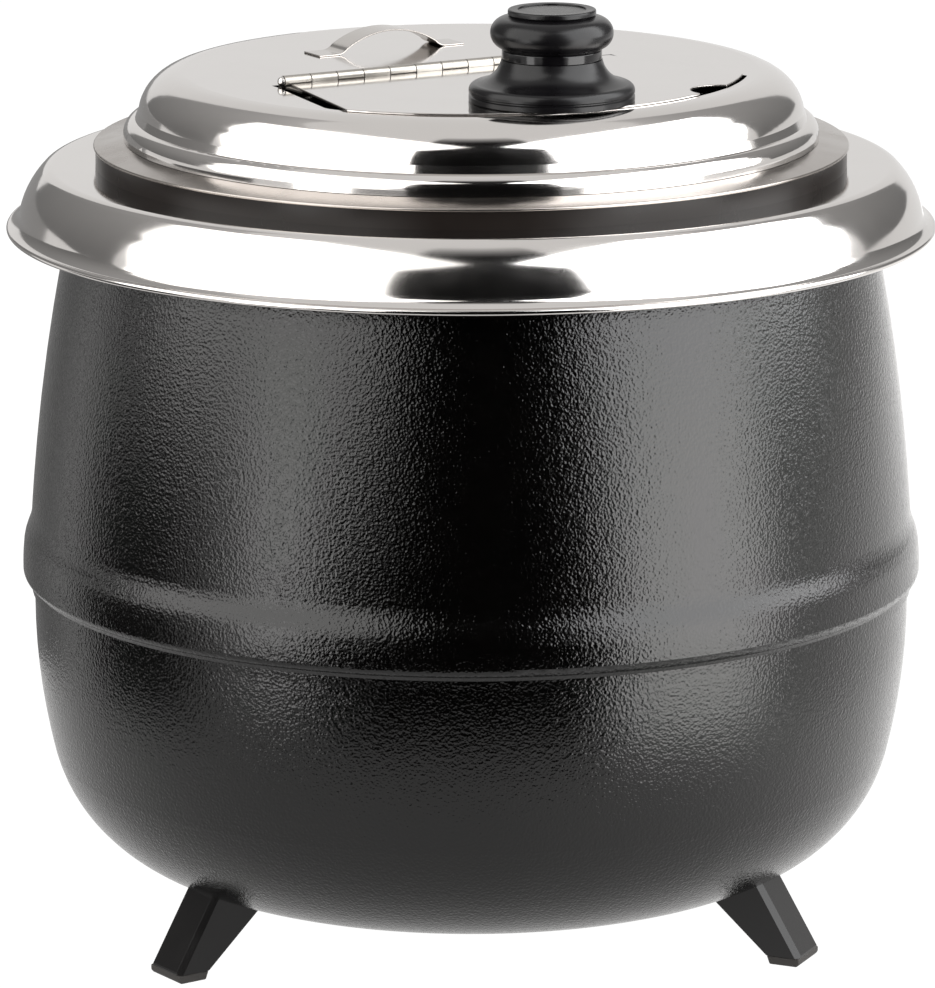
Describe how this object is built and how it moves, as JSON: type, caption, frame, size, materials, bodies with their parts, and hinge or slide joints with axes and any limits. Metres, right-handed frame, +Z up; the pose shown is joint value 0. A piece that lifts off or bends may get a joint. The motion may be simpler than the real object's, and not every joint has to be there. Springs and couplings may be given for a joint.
{
  "type": "soup kettle",
  "caption": "Counter-top electric soup kettle: black barrel jacket on splayed feet, polished rim ring, lift-out pot and hinged lid with a ladle notch.",
  "frame": {"origin": "on the kettle's vertical axis, in the plane that the feet stand on", "axes": "+Z up; -Y is the front, where the flap's knob is; the thermostat and the cable gland are on the +Y side"},
  "size_m": [0.34, 0.34, 0.3554],
  "materials": {
    "black_enamel": "textured black powder coat, satin gloss",
    "polished_steel": "mirror-polished stainless steel",
    "satin_steel": "satin stainless steel",
    "zinc_steel": "bright zinc-plated steel",
    "heater_alloy": "plain aluminium",
    "scale_print": "satin aluminium with a printed scale",
    "element_sheath": "dark oxidised steel tube",
    "copper_tube": "drawn copper",
    "brass_insert": "turned brass",
    "ceramic": "glazed ceramic",
    "control_case": "moulded heat-resistant plastic",
    "insulation": "glass-fibre blanket",
    "collar_black": "black heat-resistant plastic",
    "foot_plastic": "glossy black plastic",
    "sole_rubber": "black rubber",
    "bezel_plastic": "fine-grained black plastic",
    "pointer_white": "white inlay",
    "lamp_amber": "translucent amber plastic",
    "knob_plastic": "satin black plastic",
    "knob_gloss": "glossy black plastic"
  },
  "bodies": {
    "base": {"lower_bowl": "black_enamel", "upper_shell": "black_enamel", "water_pan": "satin_steel", "insulation_wrap": "insulation", "foot_front_left": "foot_plastic", "foot_front_right": "foot_plastic", "foot_rear": "foot_plastic", "foot_pads": "sole_rubber", "foot_screws": "zinc_steel", "pan_stud": "zinc_steel", "heater_plate": "heater_alloy", "heating_element": "element_sheath", "element_terminals": "ceramic", "element_clamp": "zinc_steel", "heat_shield": "zinc_steel", "stud_nuts": "zinc_steel", "base_washer": "zinc_steel", "cap_nut": "zinc_steel", "thermal_cutout": "control_case", "sensor_bulb": "copper_tube", "bulb_clip": "zinc_steel", "capillary": "copper_tube", "control_bezel": "bezel_plastic", "panel_screws": "zinc_steel", "thermostat_body": "control_case", "scale_plate": "scale_print", "thermostat_nut": "zinc_steel", "lamp_body": "control_case", "lamp_lens": "lamp_amber", "cable_gland": "bezel_plastic", "gland_nut": "bezel_plastic", "terminal_block": "ceramic"},
    "dial": {"thermostat_shaft": "zinc_steel", "dial_knob": "bezel_plastic", "dial_pointer": "pointer_white"},
    "ring": {"rim_ring": "polished_steel", "seat_collar": "collar_black"},
    "pot": {"soup_pot": "satin_steel"},
    "lid": {"lid_shell": "polished_steel", "lid_hinge_leaf": "satin_steel", "hinge_pin": "satin_steel", "strap_handle": "polished_steel"},
    "flap": {"flap_plate": "polished_steel", "flap_hinge_leaf": "satin_steel", "knob_base": "knob_plastic", "knob_neck": "knob_gloss", "knob_grip": "knob_plastic", "knob_cap": "knob_plastic", "knob_insert": "brass_insert", "knob_washer": "zinc_steel", "knob_screw": "zinc_steel"}
  },
  "joints": [
    {"name": "dial_turn", "type": "hinge", "parent": "base", "child": "dial", "pos_m": [0.028, 0.16, 0.0625], "axis": [0, -1, 0], "range_deg": [0, 270]},
    {"name": "ring_lift", "type": "slide", "parent": "base", "child": "ring", "axis": [0, 0, 1], "range_m": [0, 0.06]},
    {"name": "pot_lift", "type": "slide", "parent": "ring", "child": "pot", "axis": [0, 0, 1], "range_m": [0, 0.24]},
    {"name": "lid_lift", "type": "slide", "parent": "pot", "child": "lid", "axis": [0, 0, 1], "range_m": [0, 0.08]},
    {"name": "flap_hinge", "type": "hinge", "parent": "lid", "child": "flap", "pos_m": [0, 0, 0.3236], "axis": [-0.9085, -0.4179, 0], "range_deg": [0, 145]}
  ]
}
